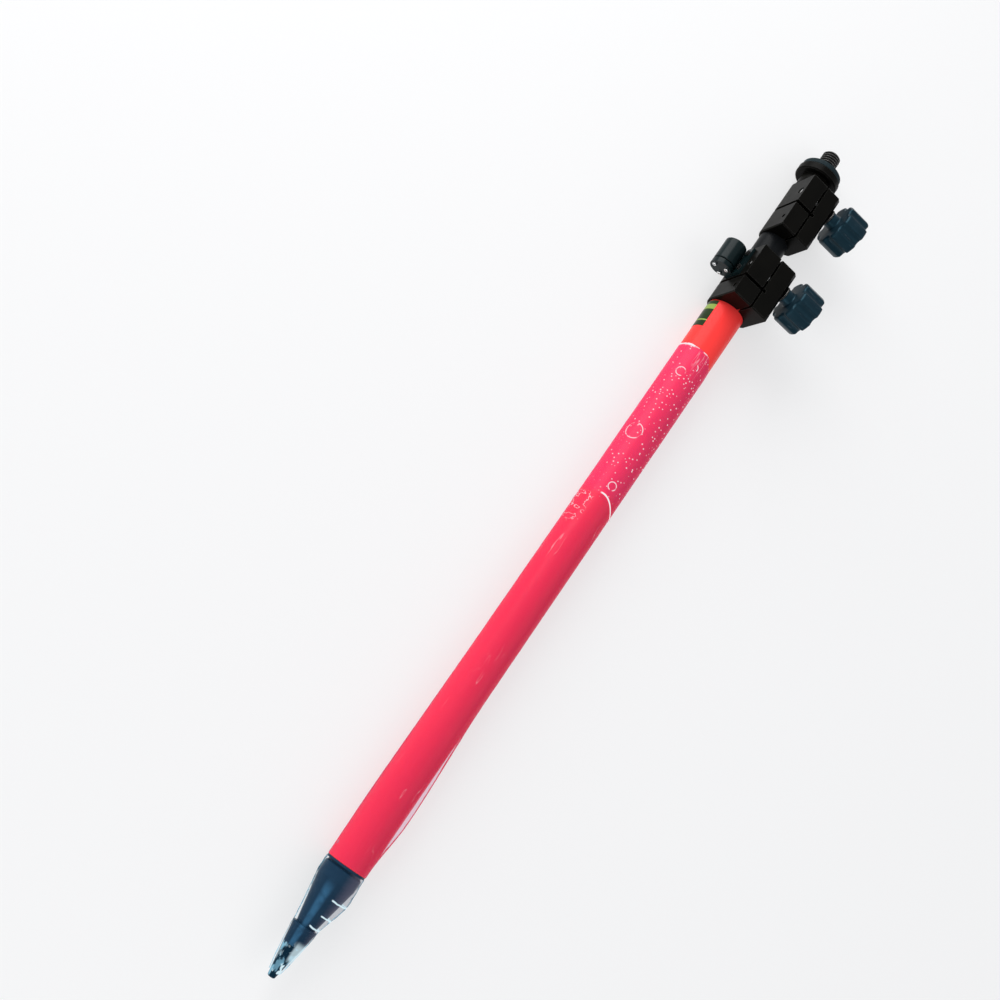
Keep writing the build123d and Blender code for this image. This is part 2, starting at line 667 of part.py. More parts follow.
# ---- Top: adapter, pin, pad and stud -------------------------------------------------------
ADAPTER_PLUG_R = INNER_R - TUBE_WALL
with BuildPart() as top_adapter:
    with BuildSketch(Plane.XZ):
        with BuildLine():
            Polyline(
                (0, ADAPTER_PLUG_BOTTOM),
                (ADAPTER_PLUG_R, ADAPTER_PLUG_BOTTOM),
                (ADAPTER_PLUG_R, FLANGE_BOTTOM),
                (INNER_R, FLANGE_BOTTOM),
                (INNER_R, SKIRT_BOTTOM),
                (SKIRT_R - 0.8, SKIRT_BOTTOM),
                (SKIRT_R, SKIRT_BOTTOM + 0.8),
                (SKIRT_R, FLANGE_BOTTOM),
                (FLANGE_R - 1.2, FLANGE_BOTTOM),
                (FLANGE_R, FLANGE_BOTTOM + 1.2),
                (FLANGE_R, FLANGE_TOP - 0.8),
                (FLANGE_R - 0.8, FLANGE_TOP),
                (TOP_SHANK_R, FLANGE_TOP),
                (TOP_SHANK_R, TOP_SHANK_BOTTOM),
                (0, TOP_SHANK_BOTTOM),
                close=True,
            )
        make_face()
    revolve(axis=Axis.Z)
    with BuildSketch(Plane.XZ.offset(-SKIRT_R)):
        with Locations((0, ADAPTER_PIN_Z)):
            Circle(FOOT_PIN_R)
    extrude(amount=2 * SKIRT_R, mode=Mode.SUBTRACT)
save(top_adapter, "top_adapter")

with BuildPart() as adapter_pin:
    with BuildSketch(Plane.XZ.offset(-SKIRT_R + 0.3)):
        with Locations((0, ADAPTER_PIN_Z)):
            Circle(FOOT_PIN_R)
    extrude(amount=2 * (SKIRT_R - 0.3))
save(adapter_pin, "adapter_pin")

PAD_R = FLANGE_R - 1.3
with BuildPart() as adapter_pad:
    with BuildSketch(Plane.XY.offset(FLANGE_TOP)):
        Circle(PAD_R)
        Circle(TOP_STUD_R + RUNNING, mode=Mode.SUBTRACT)
    extrude(amount=PAD_TOP - FLANGE_TOP)
    chamfer(adapter_pad.edges().filter_by(GeomType.CIRCLE).sort_by(SortBy.RADIUS)[-2:], 0.7)
save(adapter_pad, "adapter_pad")

with BuildPart() as top_stud:
    with BuildSketch(Plane.XZ):
        with BuildLine():
            Polyline(
                (0, TOP_SHANK_BOTTOM),
                (TOP_SHANK_R, TOP_SHANK_BOTTOM),
                (TOP_SHANK_R, FLANGE_TOP),
                (RELIEF_R, FLANGE_TOP),
                (RELIEF_R, RELIEF_TOP),
                (TOP_STUD_R, RELIEF_TOP),
                (TOP_STUD_R, TOP_STUD_END - TOP_STUD_LEAD),
                (TOP_STUD_R - TOP_STUD_LEAD, TOP_STUD_END),
                (0, TOP_STUD_END),
                close=True,
            )
        make_face()
    revolve(axis=Axis.Z)
save(top_stud, "top_stud")
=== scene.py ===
import json
from math import cos, exp, pi, radians, sin, sqrt

import bpy
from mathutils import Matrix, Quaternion, Vector, noise


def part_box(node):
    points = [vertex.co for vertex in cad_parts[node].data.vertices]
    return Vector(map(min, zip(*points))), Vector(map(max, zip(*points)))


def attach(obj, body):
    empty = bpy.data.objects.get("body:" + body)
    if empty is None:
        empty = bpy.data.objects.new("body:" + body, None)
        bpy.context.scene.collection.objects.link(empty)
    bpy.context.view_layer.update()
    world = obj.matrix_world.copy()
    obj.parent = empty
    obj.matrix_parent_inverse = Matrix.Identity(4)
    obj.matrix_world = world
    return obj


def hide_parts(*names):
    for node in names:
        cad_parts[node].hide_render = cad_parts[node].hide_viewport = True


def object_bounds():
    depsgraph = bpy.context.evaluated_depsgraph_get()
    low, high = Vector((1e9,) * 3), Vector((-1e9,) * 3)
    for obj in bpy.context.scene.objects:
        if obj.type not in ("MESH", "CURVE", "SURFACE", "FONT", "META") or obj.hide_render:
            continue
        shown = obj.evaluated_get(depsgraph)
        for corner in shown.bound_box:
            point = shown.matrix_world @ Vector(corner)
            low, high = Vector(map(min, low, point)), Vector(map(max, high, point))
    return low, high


# Looks of a surveying prism pole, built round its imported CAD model. Metres, +Z up the pole.
# The pole lies with its back (+Y) on a pale floor and its circular level to the left (-X).

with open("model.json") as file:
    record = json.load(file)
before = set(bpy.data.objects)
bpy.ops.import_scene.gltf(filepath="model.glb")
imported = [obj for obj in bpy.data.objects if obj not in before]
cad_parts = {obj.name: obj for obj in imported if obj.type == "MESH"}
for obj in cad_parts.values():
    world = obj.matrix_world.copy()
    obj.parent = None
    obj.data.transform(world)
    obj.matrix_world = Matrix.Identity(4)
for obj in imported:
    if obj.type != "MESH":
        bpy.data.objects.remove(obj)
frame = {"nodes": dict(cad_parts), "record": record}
cad_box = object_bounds()
MM = 0.001


# ---- Building materials --------------------------------------------------------------------
class Look:
    """A procedural material, built node by node."""

    def __init__(self, name):
        self.material = bpy.data.materials.new(name)
        self.material.use_nodes = True
        self.tree = self.material.node_tree
        self.tree.nodes.clear()
        self.place = self.node("TexCoord").outputs["Object"]

    def node(self, kind, settings=None, values=(), **named):
        """Add a node. values fill its inputs in order, and named ones by name."""
        made = self.tree.nodes.new("ShaderNode" + kind)
        for key, value in (settings or {}).items():
            setattr(made, key, value)
        inputs = list(enumerate(values))
        inputs += [(key.replace("_", " "), value) for key, value in named.items()]
        for key, value in inputs:
            if isinstance(value, bpy.types.NodeSocket):
                self.tree.links.new(value, made.inputs[key])
            else:
                made.inputs[key].default_value = value
        return made

    def math(self, operation, *values, clamp=False):
        settings = {"operation": operation, "use_clamp": clamp}
        return self.node("Math", settings, values).outputs[0]

    def axes(self):
        """The X, Y and Z of the place on the object."""
        return self.node("SeparateXYZ", values=(self.place,)).outputs

    def noise(self, scale, detail=2.0, stretch=(1, 1, 1), roughness=0.5):
        """Noise of a scale in cells a metre, which can be stretched along the axes."""
        scaled = self.node("Mapping", {"vector_type": "POINT"}, Vector=self.place, Scale=stretch)
        made = self.node("TexNoise", Vector=scaled.outputs[0], Scale=scale, Detail=detail,
                         Roughness=roughness)
        return made.outputs[0]

    def spread(self, value, low, high, to_low=0.0, to_high=1.0):
        """Map low..high to to_low..to_high, and hold it there."""
        settings = {"interpolation_type": "SMOOTHSTEP"}
        made = self.node("MapRange", settings, (value, low, high, to_low, to_high))
        return made.outputs[0]

    def near(self, value, centre, inner, outer):
        """One where value is within inner of centre, and none where it is beyond outer."""
        off = self.math("ABSOLUTE", self.math("SUBTRACT", value, centre))
        return self.spread(off, inner, outer, 1, 0)

    def towards(self, angle):
        """How far the place is from the pole's axis, measured towards an angle round it."""
        x, y, _ = self.axes()
        along_x = self.math("MULTIPLY", x, cos(angle))
        along_y = self.math("MULTIPLY", y, sin(angle))
        return self.math("ADD", along_x, along_y)

    def mix(self, factor, first, second):
        """Mix two colours."""
        made = self.node("Mix", {"data_type": "RGBA"})
        for key, value in ((0, factor), (6, first), (7, second)):
            if isinstance(value, bpy.types.NodeSocket):
                self.tree.links.new(value, made.inputs[key])
            else:
                made.inputs[key].default_value = value if key == 0 else (*value, 1)
        return made.outputs[2]

    def bump(self, height, distance, strength=1.0, normal=None):
        """Normal of a surface raised by height times distance, in metres."""
        named = {"Height": height, "Distance": distance, "Strength": strength}
        if normal:
            named["Normal"] = normal
        return self.node("Bump", **named).outputs[0]

    def edge(self, radius, low=0.90, high=0.999):
        """One on sharp edges, none on open faces."""
        rounded = self.node("Bevel", {"samples": 4}, Radius=radius).outputs[0]
        true = self.node("NewGeometry").outputs["True Normal"]
        dot = self.node("VectorMath", {"operation": "DOT_PRODUCT"}, (rounded, true))
        return self.spread(dot.outputs["Value"], low, high, 1.0, 0.0)

    def surface(self, **named):
        """Close the material with one principled surface."""
        for key in ("Base_Color", "Coat_Tint", "Sheen_Tint", "Emission_Color"):
            if key in named and isinstance(named[key], tuple):
                named[key] = (*named[key], 1)
        shader = self.node("BsdfPrincipled", **named).outputs[0]
        return self.close(shader)

    def close(self, shader):
        self.node("OutputMaterial", Surface=shader)
        return self.material


# The camera, in degrees and metres. It looks at a point of the pole's height, moved aside.
CAMERA_AZIMUTH = -16.8
CAMERA_ELEVATION = -14.5
CAMERA_ROLL = 35.36
CAMERA_DISTANCE = 0.9667
VIEW_ANGLE = 43.05
AIM_HEIGHT = 0.3712
AIM_ASIDE = -0.0612


def direction(azimuth, elevation):
    """Unit vector from the object towards a viewer. Azimuth 0 looks along +Y."""
    a, e = radians(azimuth), radians(elevation)
    return Vector((sin(a) * cos(e), -cos(a) * cos(e), sin(e)))


def red_coat():
    """Glossy powder coat with orange peel, fine scuffs along the tube and a few dull patches."""
    look = Look("red_coat")
    patch = look.noise(14, 3, (1, 1, 0.3))
    color = look.mix(look.spread(patch, 0.35, 0.7), (0.86, 0.036, 0.034), (0.93, 0.050, 0.046))
    peel = look.noise(900, 2)
    scuff = look.spread(look.noise(260, 5, (1, 1, 0.12)), 0.60, 0.72)
    roughness = look.math("ADD", look.math("MULTIPLY", scuff, 0.12), 0.26)
    # Painted light: the coat glows faintly in its own colour, though it is no lamp.
    return look.surface(Base_Color=color, Roughness=roughness, Specular_IOR_Level=0.08,
                        Emission_Color=color, Emission_Strength=0.05,
                        Normal=look.bump(peel, 0.05 * MM, 0.5))


TICK_GAP = 10 * MM
TICK_WIDTH = 0.9 * MM
TICK_SIDE = 1.2        # a tick runs this far round the tube from its +Y side, in radians


def anodised_tube():
    """Black drawn tube with white scale marks every 10 mm on its +Y side."""
    look = Look("anodised_tube")
    x, y, z = look.axes()
    cell = look.math("FRACT", look.math("DIVIDE", z, TICK_GAP))
    on_tick = look.math("LESS_THAN", cell, TICK_WIDTH / TICK_GAP)
    tenth = look.math("FRACT", look.math("DIVIDE", z, 10 * TICK_GAP))
    long_tick = look.math("LESS_THAN", tenth, 0.1)
    turn = look.math("ABSOLUTE", look.math("ARCTAN2", x, y))
    reach = look.math("ADD", look.math("MULTIPLY", long_tick, TICK_SIDE * 0.5), TICK_SIDE * 0.35)
    in_reach = look.math("LESS_THAN", turn, reach)
    mark = look.math("MULTIPLY", on_tick, in_reach)
    draw = look.noise(1400, 3, (1, 1, 0.01))
    shade = look.mix(draw, (0.004, 0.005, 0.006), (0.012, 0.013, 0.014))
    color = look.mix(mark, shade, (0.75, 0.74, 0.66))
    roughness = look.math("ADD", look.math("MULTIPLY", draw, 0.16), 0.26)
    return look.surface(Base_Color=color, Roughness=roughness, Specular_IOR_Level=0.06,
                        Normal=look.bump(draw, 0.02 * MM, 0.5))


def machined_black():
    """Bead-blasted and anodised aluminium with a warm cast and slightly bright edges."""
    look = Look("machined_black")
    cloud = look.noise(60, 3)
    shade = look.mix(cloud, (0.0018, 0.0019, 0.0016), (0.0048, 0.0044, 0.0034))
    color = look.mix(look.math("MULTIPLY", look.edge(0.3 * MM), 0.4), shade, (0.11, 0.105, 0.10))
    grain = look.noise(2600, 2)
    roughness = look.math("ADD", look.math("MULTIPLY", cloud, 0.14), 0.28)
    return look.surface(Base_Color=color, Roughness=roughness, Specular_IOR_Level=0.045,
                        Normal=look.bump(grain, 0.03 * MM, 0.5))


# Where the painted reflection band lies on the foot, in degrees from the camera's direction.
PAINTED_REFLECTION_TURN = 12       # the streak is this far left of the side that faces the camera
PAINTED_REFLECTION_DIP = -8


def foot_black():
    """Blue-black plastic, with a painted reflection: a light blue window band painted along the
    side that is seen.
    """
    look = Look("foot_black")
    cloud = look.noise(45, 4)
    color = look.mix(cloud, (0.008, 0.028, 0.055), (0.015, 0.045, 0.085))
    # Painted reflection: a light blue window band painted into the colour where the surface faces
    # near the camera, low on the foot and broken up by noise.
    normal = look.node("NewGeometry").outputs["Normal"]
    toward = direction(CAMERA_AZIMUTH - PAINTED_REFLECTION_TURN, PAINTED_REFLECTION_DIP)
    facing = look.node("VectorMath", {"operation": "DOT_PRODUCT"}, (normal, toward))
    painted_reflection_band = look.spread(facing.outputs["Value"], 0.94, 1.0)
    below = look.spread(look.axes()[2], 66 * MM, 78 * MM, 1, 0)
    uneven = look.spread(look.noise(130, 3), 0.30, 0.62, 0.35, 0.85)
    painted_reflection_band = look.math("MULTIPLY", look.math("MULTIPLY", painted_reflection_band, below), uneven)
    color = look.mix(painted_reflection_band, color, (0.038, 0.130, 0.235))
    turned = look.noise(1600, 2, (0.02, 0.02, 1))
    roughness = look.math("ADD", look.math("MULTIPLY", cloud, 0.2), 0.22)
    return look.surface(Base_Color=color, Roughness=roughness, Specular_IOR_Level=0.08,
                        Normal=look.bump(turned, 0.03 * MM, 0.4))


def turned_steel():
    """Turned steel tinted blue-cyan as a painted sky reflection, with dark streaks."""
    look = Look("turned_steel")
    turned = look.noise(3000, 3, (0.02, 0.02, 1))
    stain = look.spread(look.noise(190, 4, (1, 1, 0.5)), 0.42, 0.50)
    # Painted reflection: the blue-cyan colour stands in for a reflected sky; the dark streaks are
    # placed by noise.
    color = look.mix(stain, (0.26, 0.52, 0.66), (0.010, 0.040, 0.07))
    roughness = look.math("ADD", look.math("MULTIPLY", turned, 0.2), 0.12)
    return look.surface(Base_Color=color, Metallic=1.0, Roughness=roughness,
                        Normal=look.bump(turned, 0.04 * MM, 0.6))


def zinc_plate():
    look = Look("zinc_plate")
    tint = look.noise(220, 3)
    color = look.mix(tint, (0.72, 0.74, 0.80), (0.84, 0.82, 0.74))
    return look.surface(Base_Color=color, Metallic=1.0, Roughness=0.22,
                        Normal=look.bump(look.noise(3500, 2), 0.01 * MM, 0.5))


def bright_brass():
    look = Look("bright_brass")
    turned = look.noise(1800, 3)
    color = look.mix(turned, (0.78, 0.52, 0.18), (0.60, 0.40, 0.14))
    return look.surface(Base_Color=color, Metallic=1.0, Roughness=0.28,
                        Normal=look.bump(turned, 0.02 * MM, 0.5))


def black_oxide():
    look = Look("black_oxide")
    cloud = look.noise(300, 4)
    color = look.mix(cloud, (0.004, 0.004, 0.005), (0.020, 0.019, 0.018))
    worn = look.mix(look.math("MULTIPLY", look.edge(0.3 * MM), 0.6), color, (0.4, 0.39, 0.37))
    return look.surface(Base_Color=worn, Metallic=0.7, Roughness=0.30,
                        Normal=look.bump(cloud, 0.02 * MM, 0.4))


def knob_plastic():
    """Black nylon with a fine moulded grain and a cool sheen."""
    look = Look("knob_plastic")
    cloud = look.noise(90, 3)
    color = look.mix(cloud, (0.003, 0.009, 0.014), (0.007, 0.021, 0.031))
    scratch = look.spread(look.noise(700, 4, (0.15, 1, 1)), 0.62, 0.72)
    color = look.mix(look.math("MULTIPLY", scratch, 0.35), color, (0.10, 0.13, 0.15))
    roughness = look.math("ADD", look.math("MULTIPLY", cloud, 0.18), 0.26)
    grain = look.noise(2200, 3)
    return look.surface(Base_Color=color, Roughness=roughness, Specular_IOR_Level=0.28,
                        Specular_Tint=(0.30, 0.75, 1.0, 1),
                        Normal=look.bump(grain, 0.04 * MM, 0.6))


def acetal():
    look = Look("acetal")
    cloud = look.noise(120, 3)
    color = look.mix(cloud, (0.72, 0.71, 0.66), (0.82, 0.82, 0.79))
    return look.surface(Base_Color=color, Roughness=0.42, Subsurface_Weight=0.15,
                        Subsurface_Radius=(0.002, 0.002, 0.002), Subsurface_Scale=0.5,
                        Normal=look.bump(look.noise(1500, 2), 0.03 * MM, 0.4))


def black_rubber(name="black_rubber", low=(0.012, 0.012, 0.013), high=(0.03, 0.03, 0.032)):
    look = Look(name)
    cloud = look.noise(150, 4)
    dust = look.spread(look.noise(900, 4), 0.55, 0.8)
    color = look.mix(look.math("MULTIPLY", dust, 0.3), look.mix(cloud, low, high), (0.1, 0.1, 0.1))
    return look.surface(Base_Color=color, Roughness=0.62, Specular_IOR_Level=0.1,
                        Normal=look.bump(look.noise(2400, 3), 0.06 * MM, 0.6))


def satin_black():
    """Moulded housing of the circular level."""
    look = Look("satin_black")
    cloud = look.noise(110, 3)
    color = look.mix(cloud, (0.003, 0.008, 0.009), (0.006, 0.014, 0.015))
    return look.surface(Base_Color=color, Roughness=0.24, Specular_IOR_Level=0.12,
                        Normal=look.bump(look.noise(1800, 2), 0.03 * MM, 0.4))


def clear_acrylic():
    look = Look("clear_acrylic")
    ripple = look.noise(300, 1)
    return look.surface(Base_Color=(0.96, 0.99, 0.98), Roughness=0.02, IOR=1.49,
                        Transmission_Weight=1.0, Normal=look.bump(ripple, 0.01 * MM, 0.3))


def level_spirit():
    look = Look("level_spirit")
    tint = look.noise(60, 2)
    color = look.mix(tint, (0.52, 0.86, 0.10), (0.66, 0.92, 0.18))
    return look.surface(Base_Color=color, Roughness=0.0, IOR=1.36, Transmission_Weight=0.8)


def air_bubble():
    look = Look("air_bubble")
    tint = look.noise(200, 1)
    color = look.mix(tint, (0.90, 0.97, 0.80), (0.96, 1.0, 0.88))
    return look.surface(Base_Color=color, Roughness=0.0, IOR=1.02, Transmission_Weight=0.9)


def blank_label():
    """Dark green sticker with lighter bands and no lettering."""
    look = Look("blank_label")
    low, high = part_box("tube_label")
    z = look.axes()[2]
    along = look.math("DIVIDE", look.math("SUBTRACT", z, low.z), high.z - low.z)
    band = look.math("MULTIPLY", look.spread(along, 0.66, 0.67), look.spread(along, 0.86, 0.85))
    thin = look.math("MULTIPLY", look.spread(along, 0.20, 0.21), look.spread(along, 0.26, 0.25))
    stain = look.noise(180, 4)
    base = look.mix(stain, (0.010, 0.022, 0.006), (0.022, 0.042, 0.012))
    color = look.mix(look.math("ADD", band, thin, clamp=True), base, (0.24, 0.34, 0.07))
    return look.surface(Base_Color=color, Roughness=0.28, Specular_IOR_Level=0.1,
                        Normal=look.bump(look.noise(500, 2), 0.03 * MM, 0.4))


LOOKS = {
    "point_steel": turned_steel(), "foot_black": foot_black(), "tube_red": red_coat(),
    "tube_black": anodised_tube(), "clamp_black": machined_black(), "label": blank_label(),
    "knob_plastic": knob_plastic(), "zinc": zinc_plate(), "brass": bright_brass(),
    "bush_plastic": acetal(), "wiper_rubber": black_rubber(), "black_oxide": black_oxide(),
    "level_black": satin_black(), "level_glass": clear_acrylic(),
    "level_fluid": level_spirit(), "level_bubble": air_bubble(),
    "pad_rubber": black_rubber("pad_rubber", (0.006, 0.013, 0.016), (0.012, 0.024, 0.029)),
}
for part in frame["record"]["subparts"]:
    piece = frame["nodes"][part["node"]]
    piece.data.materials.clear()
    piece.data.materials.append(LOOKS[part["material_slot"]])


# ---- Building meshes -----------------------------------------------------------------------
def add_piece(name, points, faces, body, slot, look=None):
    """Make a mesh piece that rides on a body and takes the look of a material slot."""
    mesh = bpy.data.meshes.new(name)
    mesh.from_pydata([tuple(point) for point in points], [], faces)
    mesh.validate()
    mesh.polygons.foreach_set("use_smooth", [True] * len(mesh.polygons))
    piece = bpy.data.objects.new(name, mesh)
    bpy.context.scene.collection.objects.link(piece)
    mesh.materials.append(look or LOOKS[slot])
    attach(piece, body)
    return piece


def around(rows, segments, closed_ends=True):
    """Faces of a tube-like skin: rows of points, each a ring of segments points."""
    faces = []
    for row in range(rows - 1):
        for i in range(segments):
            j = (i + 1) % segments
            faces.append((row * segments + i, row * segments + j,
                          (row + 1) * segments + j, (row + 1) * segments + i))
    if closed_ends:
        faces.append(tuple(reversed(range(segments))))
        faces.append(tuple(range((rows - 1) * segments, rows * segments)))
    return faces


def turn_about(axis, centre):
    """Function that places (distance along the axis, radius, angle) in the frame."""
    if axis == "Z":
        return lambda h, r, a: Vector((centre.x + r * cos(a), centre.y + r * sin(a), h))
    return lambda h, r, a: Vector((h, centre.y + r * cos(a), centre.z + r * sin(a)))


def middle_of(node):
    low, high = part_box(node)
    return (low + high) / 2


def slot_of(node):
    for part in frame["record"]["subparts"]:
        if part["node"] == node:
            return part["material_slot"]
    raise KeyError(node)


def stand_in(name, node, rings, axis, centre, segments, radius_at):
    """Piece of turned or lobed rings that replaces a CAD node. radius_at(ring, angle)."""
    place = turn_about(axis, centre)
    points = []
    for ring in rings:
        for k in range(segments):
            angle = 2 * pi * k / segments
            points.append(place(ring[0], radius_at(ring, angle), angle))
    body = next(b for b, nodes in frame["record"]["behaviour"]["bodies"].items() if node in nodes)
    piece = add_piece(name, points, around(len(rings), segments), body, slot_of(node))
    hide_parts(node)
    return piece


# ---- Threads -------------------------------------------------------------------------------
THREAD_SEGMENTS = 72
STEPS_A_TURN = 14


def threaded_rod(name, node, axis, plain, thread_start, pitch, depth, lead):
    """Rod with plain rings, then a helical thread up to its outer end, which is chamfered."""
    low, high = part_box(node)
    centre = middle_of(node)
    end = high.z if axis == "Z" else high.x
    radius = (high.y - low.y) / 2
    steps = round((end - thread_start) / pitch * STEPS_A_TURN)
    rings = [(height, r, False) for height, r in plain]
    for k in range(steps + 1):
        height = thread_start + (end - thread_start) * k / steps
        rings.append((height, radius - max(0.0, lead - (end - height)), True))

    def radius_at(ring, angle):
        height, limit, threaded = ring
        if not threaded:
            return limit
        phase = ((height - thread_start) / pitch - angle / (2 * pi)) % 1.0
        ridge = min(1.0, max(0.0, 1.3 * (1 - abs(2 * phase - 1)) - 0.15))
        fade = min(1.0, (height - thread_start) / pitch)
        return min(limit, radius - depth * (1 - ridge) * fade)

    stand_in(name, node, rings, axis, centre, THREAD_SEGMENTS, radius_at)


M6_PITCH = 1.0 * MM
M6_DEPTH = 0.55 * MM
M6_LEAD = 0.6 * MM
for side in ("lower", "upper"):
    stud = f"{side}_clamp_stud"
    threaded_rod(f"{side}_stud_thread", stud, "X", (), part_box(stud)[0].x, M6_PITCH, M6_DEPTH,
                 M6_LEAD)

STUD_PITCH = 25.4 * MM / 11
STUD_DEPTH = 1.15 * MM
STUD_LEAD = 1.7 * MM
SHANK_R = 5 * MM
RELIEF_R = 6.7 * MM
stud_low, stud_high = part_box("top_stud")
pad_low, pad_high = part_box("adapter_pad")
stud_foot = [
    (stud_low.z, SHANK_R), (pad_low.z, SHANK_R), (pad_low.z, RELIEF_R),
    (pad_high.z - 0.4 * MM, RELIEF_R),
]
threaded_rod("prism_stud_thread", "top_stud", "Z", stud_foot, pad_high.z + 0.2 * MM, STUD_PITCH,
             STUD_DEPTH, STUD_LEAD)


# ---- Knobs ---------------------------------------------------------------------------------
KNOB_LOBES = 7
KNOB_SEGMENTS = KNOB_LOBES * 30
FLUTE_R = 5.0 * MM
FLUTE_CENTRE_R = 21.2 * MM
FLUTE_ROUND = 1.5 * MM
HUB_R = 6.4 * MM
HUB_LENGTH = 6.8 * MM
HUB_BORE_R = 3.2 * MM
SHOULDER = 2.2 * MM
DISH = 1.0 * MM


def smooth_min(a, b, softness):
    """The smaller of two lengths, rounded where they cross."""
    blend = max(0.0, min(1.0, 0.5 + 0.5 * (b - a) / softness))
    return b * (1 - blend) + a * blend - softness * blend * (1 - blend)


def flute_cut(angle, radius):
    """Outline of the grip: a circle with a round flute between each pair of lobes."""
    step = 2 * pi / KNOB_LOBES
    off = (angle + step / 2) % step - step / 2
    across = FLUTE_CENTRE_R * sin(off)
    inside = (FLUTE_R + FLUTE_ROUND) ** 2 - across * across
    if inside <= 0:
        return radius
    flute = FLUTE_CENTRE_R * cos(off) - sqrt(max(0.0, FLUTE_R * FLUTE_R - across * across))
    return smooth_min(radius, flute, FLUTE_ROUND)


def shoulder_rings(face, inward, radius, count=7):
    """Quarter-round from a flat face to the side wall. inward is +1 or -1 along the axis."""
    rings = []
    for k in range(count + 1):
        turn = pi / 2 * k / count
        rings.append((face + inward * SHOULDER * (1 - cos(turn)),
                      radius - SHOULDER * (1 - sin(turn)), 1.0))
    return rings


def make_knob(side):
    """Lobed grip with rounded shoulders, a round hub, a dished face and a centre cap."""
    node = f"{side}_knob"
    low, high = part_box(node)
    centre = middle_of(f"{side}_clamp_stud")
    radius = max(high.z - centre.z, centre.z - low.z)
    grip, end = low.x + HUB_LENGTH, high.x
    # Each ring: place along the axis, radius, and how far it follows the lobes (0 to 1).
    rings = [
        (low.x, HUB_BORE_R, 0), (low.x, HUB_R - 0.6 * MM, 0),
        (low.x + 0.2 * MM, HUB_R - 0.2 * MM, 0), (low.x + 0.6 * MM, HUB_R, 0),
        (grip - 1.4 * MM, HUB_R, 0),
        (grip - 0.5 * MM, HUB_R + 0.25 * MM, 0), (grip - 0.1 * MM, HUB_R + 0.9 * MM, 0),
        (grip, HUB_R + 1.8 * MM, 0), (grip, 0.66 * radius, 0.3), (grip, 0.80 * radius, 0.8),
    ]
    rings += shoulder_rings(grip, 1, radius)
    wall = end - grip - 2 * SHOULDER
    for k in range(1, 5):
        rings.append((grip + SHOULDER + wall * k / 5, radius, 1.0))
    rings += reversed(shoulder_rings(end, -1, radius))
    rings += [
        (end, 0.80 * radius, 0.8), (end, 0.70 * radius, 0.35),
        (end - 0.1 * MM, 0.66 * radius, 0.2),
        (end - DISH, 0.62 * radius, 0.1), (end - DISH, 0.42 * radius, 0),
        (end - DISH * 0.9, 0.39 * radius, 0), (end - 0.2 * MM, 0.36 * radius, 0),
        (end - 0.05 * MM, 0.33 * radius, 0), (end, 0.20 * radius, 0), (end, 0.05 * radius, 0),
    ]

    def radius_at(ring, angle):
        lobed = flute_cut(angle, radius) - (radius - ring[1])
        return ring[1] * (1 - ring[2]) + lobed * ring[2]

    stand_in(f"{side}_knob_grip", node, rings, "X", centre, KNOB_SEGMENTS, radius_at)


for side in ("lower", "upper"):
    make_knob(side)


# ---- Circular level: the ring printed on its glass -------------------------------------------
MARK_R = 3.1 * MM
MARK_HALF_WIDTH = 0.16 * MM
MARK_HEIGHT = 0.05 * MM
MARK_SEGMENTS = 64


def make_level_mark():
    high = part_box("level_glass")[1]
    place = turn_about("Z", middle_of("level_glass"))
    bottom = high.z + 0.02 * MM
    inner, outer = MARK_R - MARK_HALF_WIDTH, MARK_R + MARK_HALF_WIDTH
    rings = [(bottom, inner), (bottom + MARK_HEIGHT, inner),
             (bottom + MARK_HEIGHT, outer), (bottom, outer)]
    points = [place(h, r, 2 * pi * k / MARK_SEGMENTS)
              for h, r in rings for k in range(MARK_SEGMENTS)]
    faces = around(len(rings), MARK_SEGMENTS, closed_ends=False)
    last = (len(rings) - 1) * MARK_SEGMENTS
    faces += [(last + i, last + (i + 1) % MARK_SEGMENTS, (i + 1) % MARK_SEGMENTS, i)
              for i in range(MARK_SEGMENTS)]
    add_piece("level_mark", points, faces, "root", "level_black")


make_level_mark()


# ---- Shipping film ---------------------------------------------------------------------------
SLACK_SIDE = radians(CAMERA_AZIMUTH)       # the film hangs away from the tube on this side
SEEN_SIDE = radians(CAMERA_AZIMUTH - 90)   # the tube's side that faces the camera
FILM_TOP = 562 * MM
FILM_FOLD = 418 * MM
FOLD_DROP = 11 * MM                        # the fold sinks by this much at the slack side
FILM_GAP = 0.18 * MM                       # the film's distance from what it lies on
FILM_SEGMENTS = 200
FILM_ROW = 1.4 * MM
FOOT_FILM_SEGMENTS = 96
FOOT_FILM_STEPS = 8
# Painted highlight rings where the film is pressed round air pockets: height, degrees round from
# the seen side, radius.
PAINTED_RING_GLINTS = ((475 * MM, -30, 6.8 * MM), (427 * MM, 9, 3.4 * MM), (537 * MM, -15, 3.8 * MM),
              (546 * MM, 12, 3.0 * MM))
# Painted highlights on folds over the foot: height, and where they start, measured towards the
# slack side.
PAINTED_FOLD_GLINTS = ((65 * MM, 4 * MM), (52 * MM, 4 * MM), (42.5 * MM, 1 * MM))
GLARE_HEIGHT = 22 * MM
tube_low, tube_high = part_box("outer_tube")
cone_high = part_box("foot_cone")[1]
collar_low, collar_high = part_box("point_collar")
point_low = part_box("steel_point")[0]


def on_film(height, degrees_round):
    """Point on the film at a height, so many degrees round from the seen side."""
    angle = SEEN_SIDE + radians(degrees_round)
    r = tube_high.x + FILM_GAP
    return Vector((r * cos(angle), r * sin(angle), height))


